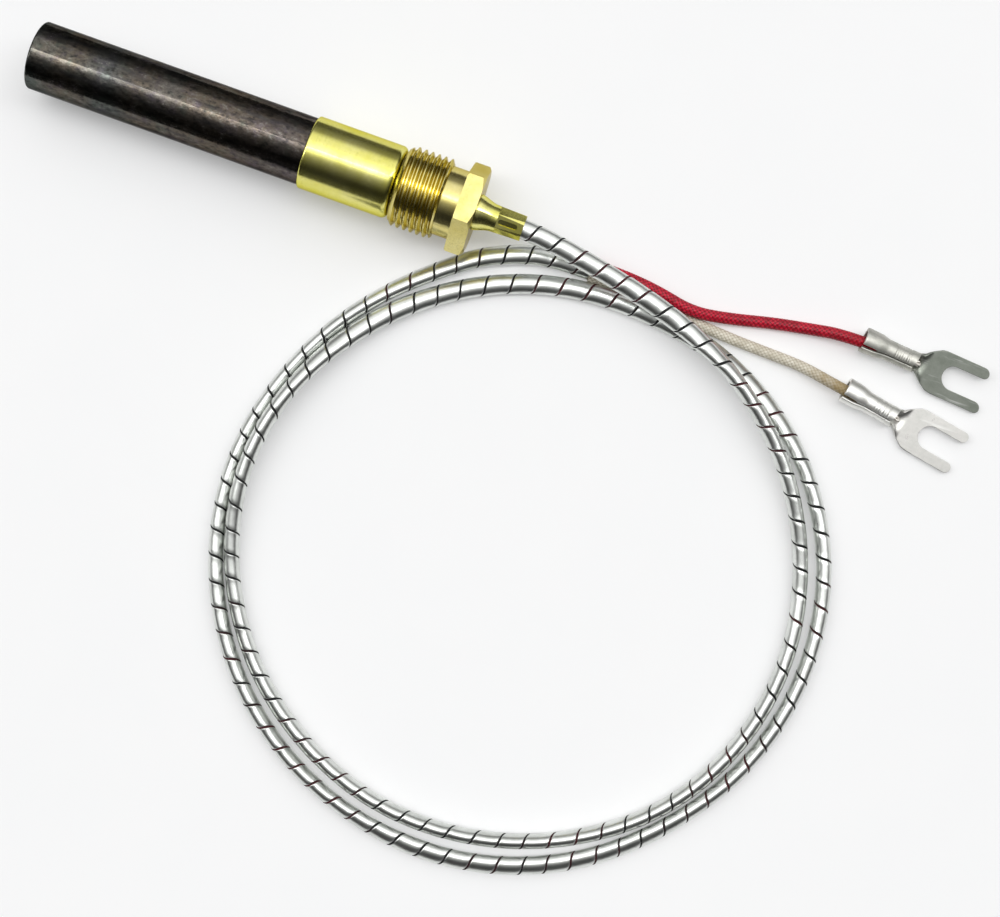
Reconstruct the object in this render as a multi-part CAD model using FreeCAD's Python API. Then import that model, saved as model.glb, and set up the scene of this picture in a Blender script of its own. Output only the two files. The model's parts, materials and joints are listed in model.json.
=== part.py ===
import FreeCAD, Part
import math
import os

# Thermopile generator, lying on its side with a loosely coiled armoured lead.  Millimetres.
# Origin: on the body axis, in the plane of the brass shell's shoulder that the nut presses on.
# +X runs from the hot tip towards the lead, +Z is up, and the floor is at the hexagon's lowest edge.

Vec = FreeCAD.Vector

# ---- Driving dimensions: body -----------------------------------------------------------------
TUBE_OUTER_R = 5.0
TUBE_WALL = 0.45
TUBE_TIP_X = -55.0
TUBE_REAR_X = -3.2
TUBE_RIM_RADIUS = 0.3
CAP_RECESS = 0.5
CAP_DEPTH = 2.2
CAP_WALL = 0.6

SHELL_OUTER_R = 5.4
SHELL_FRONT_X = -13.6
SHELL_BORE_R = TUBE_OUTER_R + 0.02
SHELL_FRONT_ROUND = 0.3
SHOULDER_ROUND = 0.9
SHOULDER_WALL = 1.0

# ---- Driving dimensions: captive male nut, M12 x 1 --------------------------------------------
THREAD_R = 6.0
THREAD_PITCH = 1.0
THREAD_ROOT_R = 5.38
THREAD_CREST_FLAT = 0.16
THREAD_FLANK_ANGLE = 30.0
THREAD_FRONT_X = 0.25
THREAD_REAR_X = 6.9
THREAD_CHAMFER = 0.7
THREAD_REAR_CHAMFER = 0.3
RELIEF_R = 5.12
HEX_FRONT_X = 9.45
HEX_REAR_X = 12.15
HEX_FLATS = 12.0
HEX_ROLL = -7.0
HEX_CORNER_R = HEX_FLATS / 2 / math.cos(math.radians(30))
HEX_CHAMFER_LENGTH = 0.45
HEX_CHAMFER_DEPTH = 0.75
HEX_FRONT_BREAK = 0.2
NECK_R = 2.7
NUT_CLEARANCE = 0.05

FLOOR_Z = -HEX_CORNER_R * math.cos(math.radians(30 + HEX_ROLL))

# ---- Driving dimensions: brass tail crimped on the lead ---------------------------------------
TAIL_THROAT_X = 14.9
TAIL_END_X = 19.2
TAIL_END_R = 1.86
TAIL_THROAT_R = 1.98
TAIL_FLAT_HALF = 1.72
TAIL_STEP_X = 14.0
TAIL_ROLL = 15.0
SHELL_WIRE_BORE_R = 1.1
DIMPLE_LENGTH = 2.9
DIMPLE_WIDTH = 0.8
DIMPLE_DEPTH = 0.09
DIMPLE_TILT = 10.0

# ---- Driving dimensions: lead -----------------------------------------------------------------
ARMOUR_TALL = 3.0
ARMOUR_THIN = 2.3
TAIL_BORE_R = ARMOUR_TALL / 2 + 0.03
WIRE_D = 1.7
CONDUCTOR_D = 1.0
ON_FLOOR = FLOOR_Z + ARMOUR_TALL / 2
WIRE_ON_FLOOR = FLOOR_Z + WIRE_D / 2 + 0.05

# First stretch of the lead: out of the tail, over the coil's own crossing and down to the floor.
LEAD_START = [
    (TAIL_STEP_X, 0.0, 0.0),
    (20.6, 0.0, 0.0),
    (26.6, -0.9, -0.3),
    (33.6, -2.0, -0.8),
    (40.8, -3.6, -1.2),
    (48.2, -6.1, -1.35),
    (56.0, -9.8, -1.8),
]

# Two loose turns, clockwise seen from above.  Each turn is a list of control radii, one every
# twenty degrees, and of how far the lead's centre is lifted off the floor there by another turn.
COIL_CENTRE = (34.7, -45.4)
COIL_START_ANGLE = 39.7
COIL_STEP = -20.0
FIRST_TURN_R = [41.7, 42.0, 42.6, 42.8, 42.8, 42.1, 41.8, 41.9, 41.8,
                42.2, 42.6, 42.8, 42.1, 41.4, 41.1, 41.2, 41.4]
FIRST_TURN_LIFT = [1.4, 0.0, 0.0, 0.0, 0.0, 0.0, 0.0, 0.0, 0.0,
                   0.0, 0.4, 2.0, 2.2, 0.5, 0.0, 0.0, 0.0]
SECOND_TURN_R = [43.1, 44.7, 45.6, 45.8, 45.7, 45.3, 45.6, 45.6, 45.3,
                 45.1, 45.1, 45.0, 44.8, 44.1, 44.2, 44.8]
SECOND_TURN_LIFT = [0.0, 0.0, 0.0, 0.0, 0.0, 0.0, 0.0, 0.0,
                    0.0, 0.0, 0.0, 0.0, 0.0, 0.0, 0.0, 0.0]

# Last stretch: the armour ends on the floor, beneath its own first stretch.
LEAD_END = [
    (18.6, -3.4, ON_FLOOR),
    (24.4, -1.75, ON_FLOOR),
    (30.4, -1.8, ON_FLOOR),
]

# The two insulated wires, from the armour's end face to the crimped terminals.  Each wire's last
# two points are worked out from its terminal's mouth, so that it enters the barrel squarely.
RED_START = [
    (30.4, -0.9, ON_FLOOR),
    (35.2, -1.0, ON_FLOOR + 0.8),
    (40.8, -1.5, ON_FLOOR + 1.0),
    (46.4, -2.65, ON_FLOOR + 0.85),
    (52.2, -1.6, WIRE_ON_FLOOR + 0.05),
    (58.4, 0.0, WIRE_ON_FLOOR),
    (63.8, 1.0, WIRE_ON_FLOOR + 0.2),
]
WHITE_START = [
    (30.4, -2.7, ON_FLOOR),
    (34.9, -2.4, WIRE_ON_FLOOR),
    (40.4, -2.6, WIRE_ON_FLOOR),
    (46.6, -3.8, WIRE_ON_FLOOR),
    (53.0, -4.3, WIRE_ON_FLOOR),
    (59.4, -4.45, WIRE_ON_FLOOR),
    (64.4, -4.6, WIRE_ON_FLOOR + 0.3),
]
RED_FORK_MOUTH = (71.5, 2.1)
RED_FORK_HEADING = -4.4
WHITE_FORK_MOUTH = (71.4, -5.7)
WHITE_FORK_HEADING = -10.3
WIRE_INTO_GRIP = 2.4
WIRE_STRAIGHT_BEFORE_GRIP = 3.0

# ---- Driving dimensions: fork terminals -------------------------------------------------------
FORK_LENGTH = 19.4
FORK_HALF_WIDTH = 3.35
FORK_SHOULDER_X = 11.4
FORK_NECK_X = 8.2
FORK_NECK_HALF = 1.35
FORK_THICKNESS = 0.8
FORK_PLATE_Z = 0.4
SLOT_R = 1.75
SLOT_ROOT_X = 12.7
BELL_OUTER_R = 1.9
BELL_END_X = 2.4
BARREL_OUTER_R = 1.55
BARREL_START_X = 3.6
BARREL_END_X = 8.4
GRIP_BORE_R = WIRE_D / 2 + 0.04
GRIP_BORE_END_X = 3.4
CRIMP_BORE_R = CONDUCTOR_D / 2 + 0.04
SEAM_WIDTH = 0.28
SEAM_ROLL = 38.0

# ---- Driving dimensions: thermopile inside the tube -------------------------------------------
COUPLES = 12
LEG_RING_R = 3.15
LEG_RADIAL = 0.7
LEG_TANGENTIAL = 0.5
LEG_HOT_X = -51.2
LEG_COLD_X = -9.0
BRIDGE_LENGTH = 0.5
CORE_R = 2.6
CORE_BORE_R = 0.9
LINER_OUTER_R = 4.45
LINER_WALL = 0.35
DISC_R = 4.4
DISC_THICKNESS = 0.6
INNER_WIRE_R = 0.5
INNER_WIRE_Y = 0.56
SPLICE_R = 0.75
SPLICE_Y = 0.9
SPLICE_LENGTH = 1.6
SPLICE_INTO_DISC = 0.4
POTTING_FRONT_X = -5.4
POTTING_REAR_X = -1.1


def axial_cylinder(radius, x_from, x_to, y=0.0, z=0.0):
    """A cylinder along X."""
    return Part.makeCylinder(radius, x_to - x_from, Vec(x_from, y, z), Vec(1, 0, 0))


def turned(profile):
    """A solid turned about X from a closed outline of (x, radius) points."""
    points = [Vec(x, 0, r) for x, r in profile]
    face = Part.Face(Part.makePolygon(points + points[:1]))
    return face.revolve(Vec(0, 0, 0), Vec(1, 0, 0), 360)


def round_rim(shape, x, radius, fillet):
    """Fillet the circular edges of one radius that lie in the plane of one x."""
    edges = []
    for edge in shape.Edges:
        if not isinstance(edge.Curve, Part.Circle):
            continue
        at_rim = abs(edge.Curve.Center.x - x) < 0.01
        if at_rim and abs(edge.Curve.Radius - radius) < 0.01:
            edges.append(edge)
    return shape.makeFillet(fillet, edges)


# ---- Cord paths -------------------------------------------------------------------------------
def rounded_path(points):
    """Straight runs joined by tangent arcs, with the arcs' radii."""
    points = [Vec(*p) for p in points]
    edges = []
    radii = []
    start = points[0]
    for before, corner, after in zip(points, points[1:], points[2:]):
        run_in = (corner - before).normalize()
        run_out = (after - corner).normalize()
        half_turn = run_in.getAngle(run_out) / 2
        shorter = min((corner - before).Length, (after - corner).Length)
        setback = 0.45 * shorter
        radius = setback / math.tan(half_turn)
        arc_start = corner - run_in * setback
        arc_end = corner + run_out * setback
        inward = (run_out - run_in).normalize()
        to_middle = radius / math.cos(half_turn) - radius
        edges.append(Part.LineSegment(start, arc_start).toShape())
        edges.append(Part.Arc(arc_start, corner + inward * to_middle, arc_end).toShape())
        radii.append(radius)
        start = arc_end
    edges.append(Part.LineSegment(start, points[-1]).toShape())
    return Part.Wire(edges), radii


def report_cord(name, cord, path, radii, area):
    """A cord's volume is its section times its length, and no bend is sharp."""
    ratio = cord.Volume / (area * path.Length)
    print(name, "length %.1f" % path.Length, "volume ratio %.4f" % ratio,
          "valid", cord.isValid(), "smallest radius %.1f" % min(radii))
    print("  radii", " ".join("%.1f" % r for r in radii))


def lead_armour(points):
    """The armour's section is oval, and the lead lies coiled with the oval on edge."""
    path, radii = rounded_path(points)
    start = Vec(*points[0])
    top = start + Vec(0, 0, ARMOUR_TALL / 2)
    side = start + Vec(0, ARMOUR_THIN / 2, 0)
    sweep = Part.BRepOffsetAPI.MakePipeShell(path)
    sweep.setBiNormalMode(Vec(0, 0, 1))
    sweep.add(Part.Wire(Part.Ellipse(top, side, start).toShape()))
    sweep.build()
    sweep.makeSolid()
    armour = sweep.shape()
    report_cord("lead_armour", armour, path, radii, math.pi * ARMOUR_TALL * ARMOUR_THIN / 4)
    return armour


def insulated_wire(name, points):
    path, radii = rounded_path(points)
    heading = Vec(*points[1]) - Vec(*points[0])
    section = Part.Wire(Part.makeCircle(WIRE_D / 2, Vec(*points[0]), heading))
    wire = path.makePipeShell([section], True, False)
    report_cord(name, wire, path, radii, math.pi * WIRE_D ** 2 / 4)
    return wire


def coil_points():
    """The coil's turns, worked out from the control radii and lifts."""
    points = []
    turns = zip(FIRST_TURN_R + SECOND_TURN_R, FIRST_TURN_LIFT + SECOND_TURN_LIFT)
    for step, (radius, lift) in enumerate(turns):
        angle = math.radians(COIL_START_ANGLE + step * COIL_STEP)
        x = COIL_CENTRE[0] + radius * math.cos(angle)
        y = COIL_CENTRE[1] + radius * math.sin(angle)
        points.append((x, y, ON_FLOOR + lift))
    return points


# ---- Body -------------------------------------------------------------------------------------
def outer_tube():
    inner_r = TUBE_OUTER_R - TUBE_WALL
    tube = turned([(TUBE_TIP_X, inner_r), (TUBE_REAR_X, inner_r),
                   (TUBE_REAR_X, TUBE_OUTER_R), (TUBE_TIP_X, TUBE_OUTER_R)])
    return round_rim(tube, TUBE_TIP_X, TUBE_OUTER_R, TUBE_RIM_RADIUS)


def tip_cap():
    """A shallow pressed cup, its closed face set back inside the tube's hot end."""
    outer_r = TUBE_OUTER_R - TUBE_WALL - 0.02
    front = TUBE_TIP_X + CAP_RECESS
    cup = turned([(front, 0), (front + CAP_WALL, 0), (front + CAP_WALL, outer_r - CAP_WALL),
                  (front + CAP_DEPTH, outer_r - CAP_WALL), (front + CAP_DEPTH, outer_r),
                  (front, outer_r)])
    return round_rim(cup, front, outer_r, 0.25)


def tail_profile():
    """Radii of the drawn tail: a trumpet from the nut's bore down to the crimped throat."""
    points = []
    stations = 7
    for i in range(stations + 1):
        t = i / stations
        ease = (1 + math.cos(math.pi * t)) / 2
        radius = TAIL_THROAT_R + (NECK_R - TAIL_THROAT_R) * ease
        x = HEX_REAR_X - 0.4 + (TAIL_THROAT_X - HEX_REAR_X + 0.4) * t
        points.append((x, radius))
    return points


def crimp_dimple(side):
    """The slot-shaped press mark on the tail, above (side 1) or below (side -1), tilted a little."""
    centre = (TAIL_THROAT_X + TAIL_END_X) / 2 - 0.1
    half = (DIMPLE_LENGTH - DIMPLE_WIDTH) / 2
    depth = DIMPLE_DEPTH + 1.0
    bottom = TAIL_FLAT_HALF - DIMPLE_DEPTH
    box = Part.makeBox(2 * half, DIMPLE_WIDTH, depth, Vec(centre - half, -DIMPLE_WIDTH / 2, bottom))
    for x in (centre - half, centre + half):
        box = box.fuse(Part.makeCylinder(DIMPLE_WIDTH / 2, depth, Vec(x, 0, bottom)))
    box.rotate(Vec(0, 0, bottom), Vec(1, 0, 0), DIMPLE_TILT)
    box.rotate(Vec(0, 0, 0), Vec(1, 0, 0), TAIL_ROLL if side > 0 else TAIL_ROLL + 180)
    return box


def brass_shell():
    """One drawn piece: sleeve, shoulder, neck through the nut, and the tail crimped on the lead."""
    outline = [(SHELL_FRONT_X, SHELL_BORE_R), (SHELL_FRONT_X, SHELL_OUTER_R),
               (0, SHELL_OUTER_R), (0, NECK_R)]
    outline += tail_profile()
    outline += [(TAIL_END_X, TAIL_END_R), (TAIL_END_X, TAIL_BORE_R),
                (TAIL_STEP_X, TAIL_BORE_R), (TAIL_STEP_X, SHELL_WIRE_BORE_R),
                (-SHOULDER_WALL, SHELL_WIRE_BORE_R), (-SHOULDER_WALL, SHELL_BORE_R)]
    shell = turned(outline)
    shell = round_rim(shell, 0, SHELL_OUTER_R, SHOULDER_ROUND)
    shell = round_rim(shell, SHELL_FRONT_X, SHELL_OUTER_R, SHELL_FRONT_ROUND)
    for turn in (0, 60, 120, 180, 240, 300):
        flat = Part.makeBox(TAIL_END_X - TAIL_THROAT_X + 1.0, 4, 1,
                            Vec(TAIL_THROAT_X + 0.4, -2, TAIL_FLAT_HALF))
        flat.rotate(Vec(0, 0, 0), Vec(1, 0, 0), turn + TAIL_ROLL)
        shell = shell.cut(flat)
    for side in (1, -1):
        shell = shell.cut(crimp_dimple(side))
    return shell


# ---- Nut --------------------------------------------------------------------------------------
def thread_groove():
    """The helical groove that leaves an M12 x 1 thread, longer than needed at both ends."""
    start_x = THREAD_FRONT_X - 1.6 * THREAD_PITCH
    height = THREAD_REAR_X + 1.1 * THREAD_PITCH - start_x
    slope = math.tan(math.radians(THREAD_FLANK_ANGLE))
    outer_r = THREAD_R + 0.1
    half_mouth = (THREAD_PITCH - THREAD_CREST_FLAT) / 2 + (outer_r - THREAD_R) * slope
    half_root = half_mouth - (outer_r - THREAD_ROOT_R) * slope
    outline = [Vec(THREAD_ROOT_R, 0, -half_root), Vec(outer_r, 0, -half_mouth),
               Vec(outer_r, 0, half_mouth), Vec(THREAD_ROOT_R, 0, half_root)]
    profile = Part.makePolygon(outline + outline[:1])
    helix = Part.makeHelix(THREAD_PITCH, height, THREAD_R)
    groove = Part.Wire(helix.Edges).makePipeShell([profile], True, True)
    if groove.Volume < 0:
        groove.reverse()
    groove.rotate(Vec(0, 0, 0), Vec(0, 1, 0), 90)
    groove.translate(Vec(start_x, 0, 0))
    return groove


def threaded_length():
    """The groove is cut in a longer rod, which is then trimmed to the chamfered outline."""
    rod = axial_cylinder(THREAD_R, THREAD_FRONT_X - 2 * THREAD_PITCH,
                         THREAD_REAR_X + 2 * THREAD_PITCH)
    envelope = turned([(THREAD_FRONT_X, 0), (THREAD_FRONT_X, THREAD_R - THREAD_CHAMFER),
                       (THREAD_FRONT_X + THREAD_CHAMFER, THREAD_R),
                       (THREAD_REAR_X - THREAD_REAR_CHAMFER, THREAD_R),
                       (THREAD_REAR_X, THREAD_R - THREAD_REAR_CHAMFER), (THREAD_REAR_X, 0)])
    return rod.cut(thread_groove()).common(envelope)


def hexagon():
    """Thin hexagon rolled a little off one flat, its rear corners turned to a small chamfer."""
    corners = []
    for i in range(6):
        angle = math.radians(60 * i + HEX_ROLL)
        corners.append(Vec(HEX_FRONT_X, HEX_CORNER_R * math.cos(angle),
                           HEX_CORNER_R * math.sin(angle)))
    outline = Part.Face(Part.makePolygon(corners + corners[:1]))
    prism = outline.extrude(Vec(HEX_REAR_X - HEX_FRONT_X, 0, 0))
    over = HEX_CORNER_R + HEX_CHAMFER_DEPTH
    envelope = turned([(HEX_FRONT_X, 0), (HEX_FRONT_X, HEX_CORNER_R - HEX_FRONT_BREAK),
                       (HEX_FRONT_X + HEX_FRONT_BREAK, HEX_CORNER_R),
                       (HEX_FRONT_X + HEX_FRONT_BREAK, over),
                       (HEX_REAR_X - 2 * HEX_CHAMFER_LENGTH, over),
                       (HEX_REAR_X, HEX_CORNER_R - HEX_CHAMFER_DEPTH), (HEX_REAR_X, 0)])
    return prism.common(envelope)


def mounting_nut():
    relief = axial_cylinder(RELIEF_R, THREAD_REAR_X - 0.1, HEX_FRONT_X + 0.1)
    nut = threaded_length().fuse(relief).fuse(hexagon())
    bore = axial_cylinder(NECK_R + NUT_CLEARANCE, THREAD_FRONT_X - 1, HEX_REAR_X + 1)
    return nut.cut(bore)


# ---- Fork terminals ---------------------------------------------------------------------------
def fork_plate():
    """Flat tongue with a round-ended slot open at the front; x from the wire end."""
    tip_r = (FORK_HALF_WIDTH - SLOT_R) / 2
    tip_x = FORK_LENGTH - tip_r
    plate = Part.Face(Part.makePolygon([
        Vec(FORK_NECK_X - 1.6, -FORK_NECK_HALF, 0), Vec(FORK_NECK_X, -FORK_NECK_HALF, 0),
        Vec(FORK_SHOULDER_X, -FORK_HALF_WIDTH, 0), Vec(tip_x, -FORK_HALF_WIDTH, 0),
        Vec(tip_x, FORK_HALF_WIDTH, 0), Vec(FORK_SHOULDER_X, FORK_HALF_WIDTH, 0),
        Vec(FORK_NECK_X, FORK_NECK_HALF, 0), Vec(FORK_NECK_X - 1.6, FORK_NECK_HALF, 0),
        Vec(FORK_NECK_X - 1.6, -FORK_NECK_HALF, 0)])).extrude(Vec(0, 0, FORK_THICKNESS))
    for side in (-1, 1):
        middle = Vec(tip_x, side * (FORK_HALF_WIDTH + SLOT_R) / 2, 0)
        plate = plate.fuse(Part.makeCylinder(tip_r, FORK_THICKNESS, middle))
    root = Vec(SLOT_ROOT_X + SLOT_R, 0, 0)
    plate = plate.cut(Part.makeCylinder(SLOT_R, FORK_THICKNESS, root))
    plate = plate.cut(Part.makeBox(FORK_LENGTH, 2 * SLOT_R, FORK_THICKNESS, root - Vec(0, SLOT_R, 0)))
    plate.translate(Vec(0, 0, FORK_PLATE_Z - BELL_OUTER_R))
    return plate


def fork_barrel():
    """Rolled barrel with a bell mouth, a stepped bore and an open seam."""
    barrel = turned([(0, GRIP_BORE_R), (0, BELL_OUTER_R - 0.12), (0.25, BELL_OUTER_R),
                     (BELL_END_X, BELL_OUTER_R - 0.1), (BARREL_START_X, BARREL_OUTER_R),
                     (BARREL_END_X, BARREL_OUTER_R), (BARREL_END_X, CRIMP_BORE_R),
                     (GRIP_BORE_END_X, CRIMP_BORE_R), (GRIP_BORE_END_X, GRIP_BORE_R)])
    seam = Part.makeBox(BARREL_END_X + 1, SEAM_WIDTH, BELL_OUTER_R + 1,
                        Vec(-0.5, -SEAM_WIDTH / 2, 0))
    seam.rotate(Vec(0, 0, 0), Vec(1, 0, 0), SEAM_ROLL)
    return barrel.cut(seam)


def heading_vector(heading):
    return Vec(math.cos(math.radians(heading)), math.sin(math.radians(heading)), 0)


def barrel_mouth(mouth):
    """The centre of a terminal's mouth, with the bell resting on the floor."""
    return Vec(mouth[0], mouth[1], FLOOR_Z + BELL_OUTER_R)


def wire_route(start, mouth, heading):
    """A wire's hand-laid points, then a straight run into its terminal's grip."""
    along = heading_vector(heading)
    centre = barrel_mouth(mouth)
    before = centre - along * WIRE_STRAIGHT_BEFORE_GRIP
    inside = centre + along * WIRE_INTO_GRIP
    return start + [tuple(before), tuple(inside)]


def place_terminal(shape, mouth, heading):
    """Move a piece made along X from the origin to a terminal's mouth and heading."""
    shape.rotate(Vec(0, 0, 0), Vec(0, 0, 1), heading)
    shape.translate(barrel_mouth(mouth))
    return shape


def fork_terminal(mouth, heading):
    return place_terminal(fork_barrel().fuse(fork_plate()), mouth, heading)


def bared_conductor(mouth, heading):
    """Stripped strands, drawn as one rod, from the wire's end face through the crimp."""
    rod = axial_cylinder(CONDUCTOR_D / 2, WIRE_INTO_GRIP, BARREL_END_X + 0.5)
    return place_terminal(rod, mouth, heading)


# ---- Thermopile -------------------------------------------------------------------------------
def leg(angle):
    half = LEG_TANGENTIAL / 2
    bar = Part.makeBox(LEG_COLD_X - LEG_HOT_X, LEG_TANGENTIAL, LEG_RADIAL,
                       Vec(LEG_HOT_X, -half, LEG_RING_R - LEG_RADIAL / 2))
    bar.rotate(Vec(0, 0, 0), Vec(1, 0, 0), angle)
    return bar


def bridge(angle, x_from):
    """A welded junction across two neighbouring legs, as a short sector of a ring."""
    span = 360.0 / COUPLES / 2 + math.degrees(LEG_TANGENTIAL / LEG_RING_R)
    section = Part.makePlane(LEG_RADIAL, BRIDGE_LENGTH,
                             Vec(x_from, 0, LEG_RING_R - LEG_RADIAL / 2), Vec(0, 1, 0))
    section.rotate(Vec(0, 0, 0), Vec(1, 0, 0), angle - span / 2)
    return section.revolve(Vec(0, 0, 0), Vec(1, 0, 0), span)


def leg_angle(index, negative):
    pitch = 360.0 / COUPLES
    return index * pitch + (pitch / 2 if negative else 0)


def positive_legs():
    return Part.makeCompound([leg(leg_angle(i, False)) for i in range(COUPLES)])


def negative_legs():
    return Part.makeCompound([leg(leg_angle(i, True)) for i in range(COUPLES)])


def hot_junctions():
    quarter = 360.0 / COUPLES / 4
    x = LEG_HOT_X - BRIDGE_LENGTH
    return Part.makeCompound([bridge(leg_angle(i, False) + quarter, x) for i in range(COUPLES)])


def cold_junctions():
    quarter = 360.0 / COUPLES / 4
    return Part.makeCompound([bridge(leg_angle(i, True) + quarter, LEG_COLD_X)
                              for i in range(COUPLES - 1)])


def ceramic_core():
    core = axial_cylinder(CORE_R, LEG_HOT_X, LEG_COLD_X)
    return core.cut(axial_cylinder(CORE_BORE_R, LEG_HOT_X - 1, LEG_COLD_X + 1))


def mica_liner():
    outer = axial_cylinder(LINER_OUTER_R, LEG_HOT_X - BRIDGE_LENGTH, LEG_COLD_X + BRIDGE_LENGTH)
    hole = axial_cylinder(LINER_OUTER_R - LINER_WALL, LEG_HOT_X - 2, LEG_COLD_X + 2)
    return outer.cut(hole)


def hot_end_disc():
    rear = LEG_HOT_X - BRIDGE_LENGTH
    return axial_cylinder(DISC_R, rear - DISC_THICKNESS, rear)


def cold_end_disc():
    """Mica disc with two holes for the splices' tails."""
    front = LEG_COLD_X + BRIDGE_LENGTH
    disc = axial_cylinder(DISC_R, front, front + DISC_THICKNESS)
    for side in (-1, 1):
        hole = axial_cylinder(SPLICE_R + 0.05, front - 1, front + 2, y=side * SPLICE_Y)
        disc = disc.cut(hole)
    return disc


def splice_front():
    return LEG_COLD_X + BRIDGE_LENGTH + DISC_THICKNESS - SPLICE_INTO_DISC


def splice(side):
    """A crimped ferrule that joins an end leg's tail to its inner wire."""
    front = splice_front()
    return axial_cylinder(SPLICE_R, front, front + SPLICE_LENGTH, y=side * SPLICE_Y)


def inner_wire(side):
    """Insulated wire from its splice, through the potting and the neck, to the armour's start."""
    front = splice_front() + SPLICE_LENGTH
    outside = side * SPLICE_Y
    inside = side * INNER_WIRE_Y
    path, _ = rounded_path([(front, outside, 0), (front + 0.9, outside, 0),
                            (front + 2.2, inside, 0), (TAIL_STEP_X, inside, 0)])
    section = Part.Wire(Part.makeCircle(INNER_WIRE_R, Vec(front, outside, 0), Vec(1, 0, 0)))
    return path.makePipeShell([section], True, False)


def rear_potting(wires):
    """Cement plug that closes the tube's cold end around the two inner wires."""
    plug = axial_cylinder(TUBE_OUTER_R - TUBE_WALL - 0.02, POTTING_FRONT_X, TUBE_REAR_X)
    plug = plug.fuse(axial_cylinder(SHELL_BORE_R - 0.02, TUBE_REAR_X + 0.02, POTTING_REAR_X))
    plug = plug.fuse(axial_cylinder(3.0, TUBE_REAR_X - 0.5, TUBE_REAR_X + 0.5))
    for wire in wires:
        plug = plug.cut(wire)
    return plug


# ---- Assembly ---------------------------------------------------------------------------------
def build_parts():
    lead_route = LEAD_START + coil_points() + LEAD_END
    red_route = wire_route(RED_START, RED_FORK_MOUTH, RED_FORK_HEADING)
    white_route = wire_route(WHITE_START, WHITE_FORK_MOUTH, WHITE_FORK_HEADING)
    red_inner_wire = inner_wire(1)
    white_inner_wire = inner_wire(-1)
    return {
        "outer_tube": outer_tube(),
        "tip_cap": tip_cap(),
        "brass_shell": brass_shell(),
        "mounting_nut": mounting_nut(),
        "lead_armour": lead_armour(lead_route),
        "red_wire": insulated_wire("red_wire", red_route),
        "white_wire": insulated_wire("white_wire", white_route),
        "red_fork_terminal": fork_terminal(RED_FORK_MOUTH, RED_FORK_HEADING),
        "white_fork_terminal": fork_terminal(WHITE_FORK_MOUTH, WHITE_FORK_HEADING),
        "red_conductor": bared_conductor(RED_FORK_MOUTH, RED_FORK_HEADING),
        "white_conductor": bared_conductor(WHITE_FORK_MOUTH, WHITE_FORK_HEADING),
        "positive_legs": positive_legs(),
        "negative_legs": negative_legs(),
        "hot_junctions": hot_junctions(),
        "cold_junctions": cold_junctions(),
        "ceramic_core": ceramic_core(),
        "mica_liner": mica_liner(),
        "hot_end_disc": hot_end_disc(),
        "cold_end_disc": cold_end_disc(),
        "positive_splice": splice(1),
        "negative_splice": splice(-1),
        "red_inner_wire": red_inner_wire,
        "white_inner_wire": white_inner_wire,
        "rear_potting": rear_potting([red_inner_wire, white_inner_wire]),
    }


def main():
    os.makedirs("parts", exist_ok=True)
    for name, shape in build_parts().items():
        box = shape.optimalBoundingBox(True, False)
        print("%-20s solids %d valid %s  x %.2f..%.2f  y %.2f..%.2f  z %.2f..%.2f" % (
            name, len(shape.Solids), shape.isValid(), box.XMin, box.XMax,
            box.YMin, box.YMax, box.ZMin, box.ZMax))
        shape.exportStep("parts/%s.step" % name)


main()
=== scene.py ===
"""Looks of a pilot-flame thermopile with a coiled armoured lead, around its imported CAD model."""
import json
import math
import random
from collections import namedtuple

import bmesh
import bpy
import numpy as np
from mathutils import Matrix, Vector


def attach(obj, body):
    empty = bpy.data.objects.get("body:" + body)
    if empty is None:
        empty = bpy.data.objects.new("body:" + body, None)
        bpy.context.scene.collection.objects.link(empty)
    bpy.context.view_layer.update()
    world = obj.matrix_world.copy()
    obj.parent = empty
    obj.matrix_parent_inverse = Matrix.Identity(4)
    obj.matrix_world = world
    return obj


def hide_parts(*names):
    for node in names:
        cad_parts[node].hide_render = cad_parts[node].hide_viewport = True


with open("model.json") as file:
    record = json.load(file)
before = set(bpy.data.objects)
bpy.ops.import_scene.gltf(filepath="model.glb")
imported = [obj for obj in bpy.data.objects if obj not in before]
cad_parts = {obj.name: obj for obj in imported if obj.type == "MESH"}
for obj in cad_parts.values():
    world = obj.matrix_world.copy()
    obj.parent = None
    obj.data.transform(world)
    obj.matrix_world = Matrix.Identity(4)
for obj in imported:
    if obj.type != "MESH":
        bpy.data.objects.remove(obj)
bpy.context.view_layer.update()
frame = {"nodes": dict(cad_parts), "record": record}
MM = 0.001
# The part lies on the table with one corner of its hexagon.
FLOOR_Z = -0.0063774

# ---- Camera: straight down, turned so that the body runs from upper left to lower right -------
CAMERA_TURN = math.radians(19.7)
CAMERA_PLACE = (0.0272, -0.0323, 0.260)
SENSOR_WIDTH = 36.0
LENS = 64.98
IMAGE_RIGHT = Vector((math.cos(CAMERA_TURN), math.sin(CAMERA_TURN), 0.0))
IMAGE_UP = Vector((-math.sin(CAMERA_TURN), math.cos(CAMERA_TURN), 0.0))
camera_data = bpy.data.cameras.new("camera")
camera_data.sensor_width = SENSOR_WIDTH
camera_data.lens = LENS
camera_data.clip_start = 0.01
camera = bpy.data.objects.new("camera", camera_data)
camera.location = CAMERA_PLACE
camera.rotation_euler = (0.0, 0.0, CAMERA_TURN)
bpy.context.scene.collection.objects.link(camera)
bpy.context.scene.camera = camera

# ---- Routes of the lead and its two wires, in metres -------------------------------------------
ARMOUR_TALL = 0.0030
ARMOUR_THIN = 0.0023
RED_WIRE_D = 0.0018
WHITE_WIRE_D = 0.0017
ON_FLOOR = FLOOR_Z + ARMOUR_TALL / 2
FLAT_ON_FLOOR = FLOOR_Z + ARMOUR_THIN / 2
WIRE_ON_FLOOR = FLOOR_Z + WHITE_WIRE_D / 2 + 0.00005

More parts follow.
